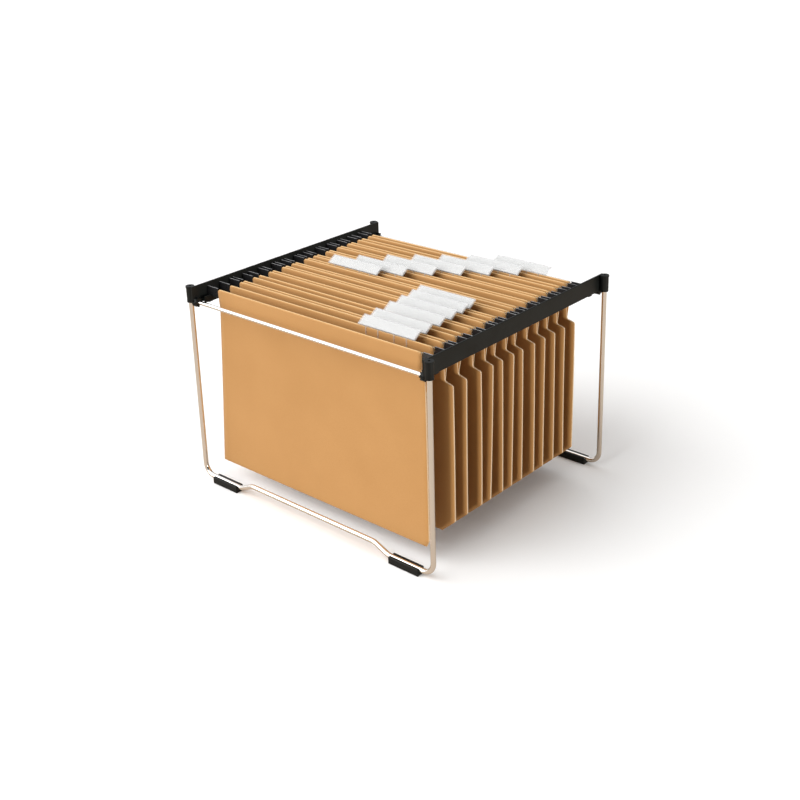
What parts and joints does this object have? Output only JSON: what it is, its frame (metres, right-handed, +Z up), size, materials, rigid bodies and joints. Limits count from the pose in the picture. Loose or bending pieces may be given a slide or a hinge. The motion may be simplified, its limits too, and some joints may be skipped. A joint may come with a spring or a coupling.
{
  "type": "hanging file rack",
  "caption": "Desktop hanging file rack: chrome wire end frames and black plastic side rails carrying sliding manila suspension files with clear index tabs.",
  "frame": {"origin": "on the floor, under the middle of the rack", "axes": "+X from the left rail to the right rail, +Y from the front frame to the rear frame, +Z up"},
  "size_m": [0.4116, 0.362, 0.2821],
  "materials": {
    "rail": "fine satin moulded black plastic",
    "wire": "bright chrome plated steel wire",
    "foot": "satin moulded black plastic",
    "card": "smooth matt manila card",
    "hangers": "satin black painted steel strip",
    "tab": "clear glossy plastic",
    "label": "matt white paper"
  },
  "bodies": {
    "rack": {"left_rail": "rail", "right_rail": "rail", "front_wire_frame": "wire", "rear_wire_frame": "wire", "front_cross_rod": "wire", "rear_cross_rod": "wire", "front_feet": "foot", "rear_feet": "foot"},
    "file_01": {"file_01_card": "card", "file_01_hangers": "hangers", "file_01_tab": "tab", "file_01_label": "label"},
    "file_02": {"file_02_card": "card", "file_02_hangers": "hangers", "file_02_tab": "tab", "file_02_label": "label"},
    "file_03": {"file_03_card": "card", "file_03_hangers": "hangers", "file_03_tab": "tab", "file_03_label": "label"},
    "file_04": {"file_04_card": "card", "file_04_hangers": "hangers", "file_04_tab": "tab", "file_04_label": "label"},
    "file_05": {"file_05_card": "card", "file_05_hangers": "hangers", "file_05_tab": "tab", "file_05_label": "label"},
    "file_06": {"file_06_card": "card", "file_06_hangers": "hangers", "file_06_tab": "tab", "file_06_label": "label"},
    "file_07": {"file_07_card": "card", "file_07_hangers": "hangers", "file_07_tab": "tab", "file_07_label": "label"},
    "file_08": {"file_08_card": "card", "file_08_hangers": "hangers", "file_08_tab": "tab", "file_08_label": "label"},
    "file_09": {"file_09_card": "card", "file_09_hangers": "hangers", "file_09_tab": "tab", "file_09_label": "label"},
    "file_10": {"file_10_card": "card", "file_10_hangers": "hangers", "file_10_tab": "tab", "file_10_label": "label"},
    "file_11": {"file_11_card": "card", "file_11_hangers": "hangers", "file_11_tab": "tab", "file_11_label": "label"},
    "file_12": {"file_12_card": "card", "file_12_hangers": "hangers", "file_12_tab": "tab", "file_12_label": "label"},
    "file_13": {"file_13_card": "card", "file_13_hangers": "hangers", "file_13_tab": "tab", "file_13_label": "label"}
  },
  "joints": [
    {"name": "file_01_slide", "type": "slide", "parent": "rack", "child": "file_01", "axis": [0, 1, 0], "range_m": [-0.012, 0.0066]},
    {"name": "file_02_slide", "type": "slide", "parent": "rack", "child": "file_02", "axis": [0, 1, 0], "range_m": [-0.0066, 0.0067]},
    {"name": "file_03_slide", "type": "slide", "parent": "rack", "child": "file_03", "axis": [0, 1, 0], "range_m": [-0.0067, 0.0069]},
    {"name": "file_04_slide", "type": "slide", "parent": "rack", "child": "file_04", "axis": [0, 1, 0], "range_m": [-0.0069, 0.007]},
    {"name": "file_05_slide", "type": "slide", "parent": "rack", "child": "file_05", "axis": [0, 1, 0], "range_m": [-0.007, 0.0042]},
    {"name": "file_06_slide", "type": "slide", "parent": "rack", "child": "file_06", "axis": [0, 1, 0], "range_m": [-0.0042, 0.0071]},
    {"name": "file_07_slide", "type": "slide", "parent": "rack", "child": "file_07", "axis": [0, 1, 0], "range_m": [-0.0071, 0.0038]},
    {"name": "file_08_slide", "type": "slide", "parent": "rack", "child": "file_08", "axis": [0, 1, 0], "range_m": [-0.0038, 0.0071]},
    {"name": "file_09_slide", "type": "slide", "parent": "rack", "child": "file_09", "axis": [0, 1, 0], "range_m": [-0.0071, 0.0062]},
    {"name": "file_10_slide", "type": "slide", "parent": "rack", "child": "file_10", "axis": [0, 1, 0], "range_m": [-0.0062, 0.0054]},
    {"name": "file_11_slide", "type": "slide", "parent": "rack", "child": "file_11", "axis": [0, 1, 0], "range_m": [-0.0054, 0.0053]},
    {"name": "file_12_slide", "type": "slide", "parent": "rack", "child": "file_12", "axis": [0, 1, 0], "range_m": [-0.0053, 0.0051]},
    {"name": "file_13_slide", "type": "slide", "parent": "rack", "child": "file_13", "axis": [0, 1, 0], "range_m": [-0.0051, 0.024]}
  ]
}
